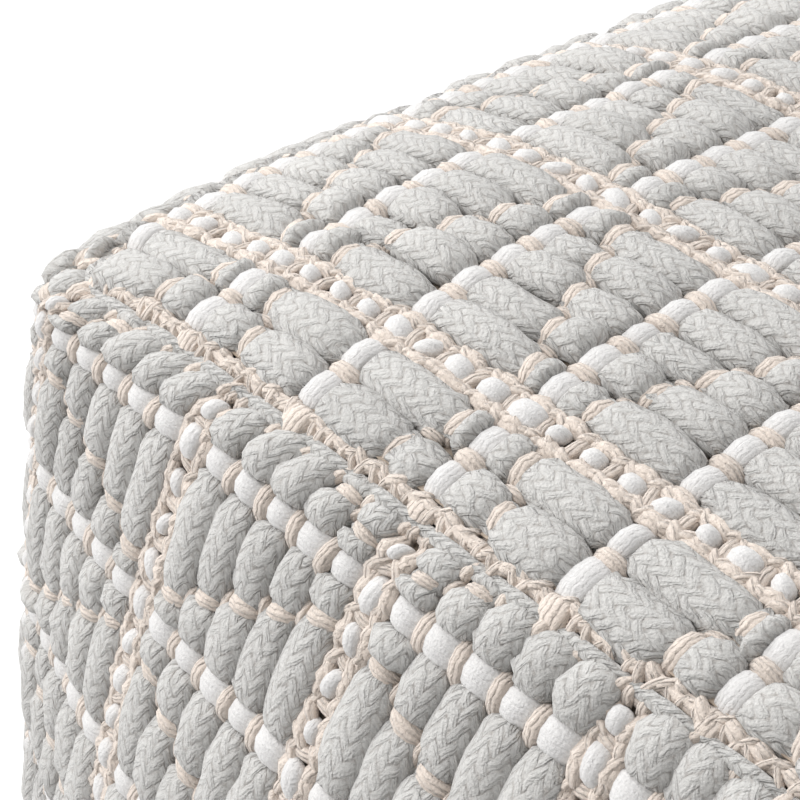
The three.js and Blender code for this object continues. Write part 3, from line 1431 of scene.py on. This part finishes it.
@dataclass(frozen=True)
class StrandRelief:
    """The relief of a bundle of twisted strands that lie side by side."""

    sway_scale: float = 0.35
    sway: float = 1.1
    streak_scales: Pair = (6.0, 0.45)
    streak_depth: float = 0.6
    hollow_shade_edges: Pair = (0.15, 0.8)

    def group(self) -> Group:
        """Makes the node group.

        Returns:
            The group. It takes pattern coordinates, in strands across and millimetres along, and
            gives a height, a mask of the hollows where shade is painted and the streaks of the fibres.
        """
        takes = {"Place": "Vector", "Twist": "Float", "Softness": "Float"}
        w = SharedGroup("StrandRelief", takes, RELIEF_GIVES)
        parts = w.node("SeparateXYZ", {0: w.takes["Place"]})
        sway = w.scaled(w.noise(w.takes["Place"], self.sway_scale, 1.0)[0], self.sway, parts[0])
        part = w.math("FRACT", sway)
        roundness = w.arc(part)
        lay = w.scaled(parts[1], w.takes["Twist"], part)
        streaks = w.streaks(lay, parts[1], w.math("FLOOR", sway), *self.streak_scales)
        height = w.scaled(streaks, self.streak_depth, w.times(roundness, w.takes["Softness"]))
        # Painted shade: a mask of the hollows between the strands
        hollow_shade = w.minus(1.0, w.smooth(roundness, *self.hollow_shade_edges))
        return w.give({"Height": height, "Hollow Shade": hollow_shade, "Streak": streaks})


@dataclass(frozen=True)
class YarnColour:
    """The yarn's colour, with painted shade: darker and warmer in hollows and deep in the cloth."""

    fleck_scale: float = 1500.0
    fleck_share: float = 0.34
    cloud_scale: float = 25.0
    cloud_share: float = 0.1
    streak_share: float = 0.3
    depths_mm: Pair = (1.5, 8.5)
    hollow_shade_deeper: float = 1.7
    hollow_shade_share: float = 0.8
    depth_shade_share: float = 0.45

    def group(self) -> Group:
        """Makes the node group.

        Returns:
            The group. It takes the yarn's colour, the colour of its painted shade, a mask of the
            hollows, and the piece's sunk and tone values, and gives the colour with shade painted in.
        """
        floats = ("Hollow Shade", "Hollow Shade Share", "Streak", "Sunk", "Tone", "Tone Share")
        takes = {"Yarn": "Color", "Shade": "Color"} | dict.fromkeys(floats, "Float")
        w = SharedGroup("YarnColour", takes, {"Colour": "Color"})
        light = w.scaled(w.takes["Tone"], w.takes["Tone Share"], 1.0)
        for noise, share in (
            (w.fibres(self.fleck_scale), self.fleck_share),
            (w.fibres(self.cloud_scale, 1.0), self.cloud_share),
            (w.takes["Streak"], self.streak_share),
        ):
            light = w.scaled(w.centred(noise), share, light)
        # Painted shade: the colour goes towards the shade colour in the hollows and where the yarn lies deep
        depth = w.smooth(w.takes["Sunk"], *self.depths_mm)
        shade = w.times(w.takes["Hollow Shade"], w.takes["Hollow Shade Share"])
        shade = w.times(shade, w.scaled(depth, self.hollow_shade_deeper, self.hollow_shade_share))
        shade = w.math("MINIMUM", w.scaled(depth, self.depth_shade_share, shade), 1.0)
        colour = w.mix(shade, w.takes["Yarn"], w.takes["Shade"])
        lit = w.node("VectorMath", {0: colour, "Scale": light}, operation="SCALE")
        return w.give({"Colour": lit[0]})


def new_material(name: str) -> tuple[bpy.types.Material, Wiring]:
    """Makes an empty node material.

    Args:
        name: Its name.

    Returns:
        The material and its wiring.
    """
    made = bpy.data.materials.new(name)
    made.use_nodes = True
    made.node_tree.nodes.clear()
    return made, Wiring(made.node_tree)


@dataclass(frozen=True)
class YarnFinish:
    """One yarn's finish: its colours, with painted shade, its relief and how its fibres catch light."""

    name: str
    yarn: Colour
    # The colour painted into hollows and deep yarn as shade
    shade: Colour
    braided: bool
    relief_mm: float
    hollow_shade_share: float
    tone_share: float
    unevenness: float = 0.5
    twist: float = 0.22
    softness: float = 1.0
    roughness: float = 0.95
    sheen: float = 0.45
    sheen_roughness: float = 0.6
    specular: float = 0.15
    fuzz_scale: float = 1900.0
    fuzz_mm: float = 0.4
    high_relief: float = 0.42
    deeper_relief: float = 1.2
    relief_depth_mm: float = 5.0

    def material(self, groups: dict[str, Group]) -> bpy.types.Material:
        """Builds the material.

        Args:
            groups: The shared node groups, by name.

        Returns:
            The material.
        """
        made, w = new_material(self.name)
        takes = {"Place": w.node("UVMap", uv_map=WEAVE_MAP)[0]}
        if self.braided:
            takes |= {"Unevenness": self.unevenness}
        else:
            takes |= {"Twist": self.twist, "Softness": self.softness}
        relief = w.node("Group", takes, node_tree=groups["braid" if self.braided else "strand"])
        sunk, tone = (w.node("Attribute", attribute_name=name)["Fac"] for name in (SUNK, TONE))
        # The colour group paints shade into the colour in the hollows and where the yarn is sunk deep
        takes = {
            "Yarn": (*self.yarn, 1),
            "Shade": (*self.shade, 1),
            "Hollow Shade": relief["Hollow Shade"],
            "Hollow Shade Share": self.hollow_shade_share,
            "Streak": relief["Streak"],
            "Sunk": sunk,
            "Tone": tone,
            "Tone Share": self.tone_share,
        }
        colour = w.node("Group", takes, node_tree=groups["colour"])
        pressed = w.smooth(sunk, 0.0, self.relief_depth_mm)
        pressed = w.scaled(pressed, self.deeper_relief, self.high_relief)
        fuzz = {"Normal": w.bump(w.fibres(self.fuzz_scale), self.fuzz_mm)}
        takes = {
            "Base Color": colour[0],
            "Normal": w.bump(w.times(relief["Height"], pressed), self.relief_mm, fuzz),
            "Roughness": self.roughness,
            "Sheen Weight": self.sheen,
            "Sheen Roughness": self.sheen_roughness,
            "Specular IOR Level": self.specular,
        }
        w.surface(takes)
        return made


@dataclass(frozen=True)
class GroundFinish:
    """The finish of the fine beige cloth deep between the cords, its browns darkened as painted shade."""

    name: str = "beige_ground_with_painted_shade"
    # Both browns are darker than the beige yarn: the cloth's colour with painted shade of the gaps
    light: Colour = (0.62, 0.52, 0.43)
    dark: Colour = (0.34, 0.27, 0.21)
    thread_scale: float = 500.0
    relief_mm: float = 0.4

    def material(self) -> bpy.types.Material:
        """Builds the material: fine threads in two browns.

        Returns:
            The material.
        """
        made, w = new_material(self.name)
        threads = w.fibres(self.thread_scale)
        colour = w.mix(threads, (*self.dark, 1), (*self.light, 1))
        w.surface({"Base Color": colour, "Normal": w.bump(threads, self.relief_mm), "Roughness": 1.0})
        return made


# Each shade colour is painted shade; the white yarn's is warm, like light thrown back by the beige
CORD_FINISH = YarnFinish(
    "grey_braided_cotton",
    yarn=(0.61, 0.598, 0.577),
    shade=(0.34, 0.31, 0.285),
    braided=True,
    relief_mm=0.52,
    hollow_shade_share=1.0,
    tone_share=0.025,
    unevenness=0.85,
)
BEIGE_FINISH = YarnFinish(
    "beige_cotton_yarn",
    yarn=(0.83, 0.725, 0.64),
    shade=(0.58, 0.455, 0.37),
    braided=False,
    relief_mm=0.34,
    hollow_shade_share=0.12,
    tone_share=0.03,
)
WHITE_FINISH = YarnFinish(
    "white_cotton_yarn",
    yarn=(0.76, 0.745, 0.735),
    shade=(0.78, 0.7, 0.63),
    braided=False,
    relief_mm=0.15,
    hollow_shade_share=0.05,
    tone_share=0.015,
    twist=0.1,
    softness=0.6,
    sheen=0.8,
    fuzz_mm=0.3,
)


class Finishes:
    """All materials of the pouf, with the node groups that they share."""

    def __init__(self) -> None:
        """Builds the node groups once and every material with them."""
        groups = {"braid": BraidRelief().group(), "strand": StrandRelief().group()}
        groups["colour"] = YarnColour().group()
        self.cord = CORD_FINISH.material(groups)
        self.beige = BEIGE_FINISH.material(groups)
        self.white = WHITE_FINISH.material(groups)
        self.ground = GroundFinish().material()


@dataclass(frozen=True)
class SoftLight:
    """A soft square light, in metres and watts, that shines from its place towards its aim."""

    name: str
    place: tuple[float, float, float]
    size: float
    power: float
    aim: tuple[float, float, float] = (0.0, 0.0, 0.3)

    def add(self) -> None:
        """Adds the light to the scene."""
        data = bpy.data.lights.new(self.name, "AREA")
        data.shape = "SQUARE"
        data.size = self.size
        data.energy = self.power
        light = bpy.data.objects.new(self.name, data)
        bpy.context.scene.collection.objects.link(light)
        light.location = self.place
        way = Vector(self.aim) - Vector(self.place)
        light.rotation_euler = way.to_track_quat("-Z", "Y").to_euler()


@dataclass(frozen=True)
class Studio:
    """The floor, the soft light and the camera."""

    focal_px: float = 2700.0
    frame_px: float = 800.0
    sensor_mm: float = 36.0
    elevation: float = 0.5882
    azimuth: float = 2.4717
    target: Pair = (-93.3, -166.3)
    distance: float = 507.1
    clip: Pair = (0.02, 50.0)
    floor_size: float = 12.0
    floor_drop: float = 0.0006
    floor_greys: Pair = (0.42, 0.93)
    floor_roughness: float = 0.9
    sky_low: float = 0.32
    sky_rise: float = 0.70
    sky_tilt: Pair = (-0.75, 0.2)
    lights: tuple[SoftLight, ...] = (
        SoftLight("side_light", place=(-0.85, -0.7, 0.74), size=1.1, power=11.0),
        SoftLight("top_light", place=(-0.75, 0.5, 1.5), size=1.5, power=3.0),
    )

    def build(self) -> None:
        """Sets the camera, the floor, the lights and the sky."""
        self.camera()
        self.floor()
        for light in self.lights:
            light.add()
        self.sky()

    def camera(self) -> None:
        """Places the camera at the photograph's viewing angle."""
        level = math.cos(self.elevation)
        way = (level * math.cos(self.azimuth), level * math.sin(self.azimuth), -math.sin(self.elevation))
        ahead = Vector(way)
        right = Vector((math.sin(self.azimuth), -math.cos(self.azimuth), 0))
        turn = Matrix((right, right.cross(ahead), -ahead)).transposed().to_4x4()
        target = Vector((*self.target, FORM.top_seam_height))
        data = bpy.data.cameras.new("photo_camera")
        data.sensor_width = self.sensor_mm
        data.lens = self.focal_px / self.frame_px * self.sensor_mm
        data.clip_start, data.clip_end = self.clip
        camera = bpy.data.objects.new("photo_camera", data)
        bpy.context.scene.collection.objects.link(camera)
        camera.matrix_world = Matrix.Translation((target - ahead * self.distance) * MM) @ turn
        bpy.context.scene.camera = camera

    def floor(self) -> None:
        """Lays a plain pale floor, which throws less light back than it shows to the camera."""
        bpy.ops.object.select_all(action="DESELECT")
        bpy.ops.mesh.primitive_plane_add(size=self.floor_size, location=(0, 0, -self.floor_drop))
        floor = bpy.context.active_object
        floor.name = "floor"
        made, w = new_material("pale_floor")
        seen = w.node("LightPath")["Is Camera Ray"]
        greys = ((grey, grey, grey, 1) for grey in self.floor_greys)
        w.surface({"Base Color": w.mix(seen, *greys), "Roughness": self.floor_roughness})
        floor.data.materials.append(made)

    def sky(self) -> None:
        """Adds a pale sky all round, brighter above and on the side that the light comes from."""
        world = bpy.data.worlds.new("studio")
        bpy.context.scene.world = world
        world.use_nodes = True
        w = Wiring(world.node_tree)
        way = w.node("SeparateXYZ", {0: w.node("TexCoord")["Generated"]})
        soft = w.scaled(w.smooth(way["Z"], 0.0, 1.0), self.sky_rise, self.sky_low)
        tilt = w.scaled(way["X"], self.sky_tilt[0], 1.0)
        tilt = w.scaled(way["Y"], self.sky_tilt[1], tilt)
        strength = w.math("MAXIMUM", w.times(soft, tilt), w.node("LightPath")["Is Camera Ray"])
        w.feed(world.node_tree.nodes["Background"], {"Strength": strength, "Color": (1.0, 1.0, 1.0, 1)})
        bpy.context.scene.view_settings.view_transform = "Standard"


def side_pieces() -> list[WovenPiece]:
    """Lists the four stretches of the side band, one for each side.

    Returns:
        The pieces, each with its own seed.
    """
    names, seeds = ("front", "right", "back", "left"), (23, 26, 29, 32)
    starts = [*(FORM.side * number for number in range(4)), math.inf]
    return [
        WovenPiece(
            name=f"side_{name}",
            cloth=BandCloth(),
            layout=BAND_LAYOUT,
            chance=np.random.default_rng(seed),
            near=BAND_NEAR,
            start=start,
            end=end,
        )
        for name, seed, start, end in zip(names, seeds, starts, starts[1:])
    ]


def main() -> None:
    """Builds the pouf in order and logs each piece."""
    logging.basicConfig(level=logging.INFO, format="%(name)s: %(message)s")
    Studio().build()
    finishes = Finishes()
    top, base = PanelCloth(Level.TOP), PanelCloth(Level.BASE)
    top_edge, base_edge = SeamEdge(Level.TOP), SeamEdge(Level.BASE)
    seeded = np.random.default_rng
    for part in (
        FilledGround(),
        WovenPiece(name="top", cloth=top, layout=TOP_LAYOUT, chance=seeded(11), near=TOP_NEAR, rest=PLAIN),
        *side_pieces(),
        WovenPiece(name="base", cloth=base, layout=BASE_LAYOUT, chance=seeded(37)),
        SewnSeam(cloth=top_edge, layout=TOP_LAYOUT, chance=seeded(51), near=SEAM_NEAR),
        SewnSeam(cloth=base_edge, layout=BASE_LAYOUT, chance=seeded(67)),
    ):
        part.build(finishes)


if __name__ == "__main__":
    main()
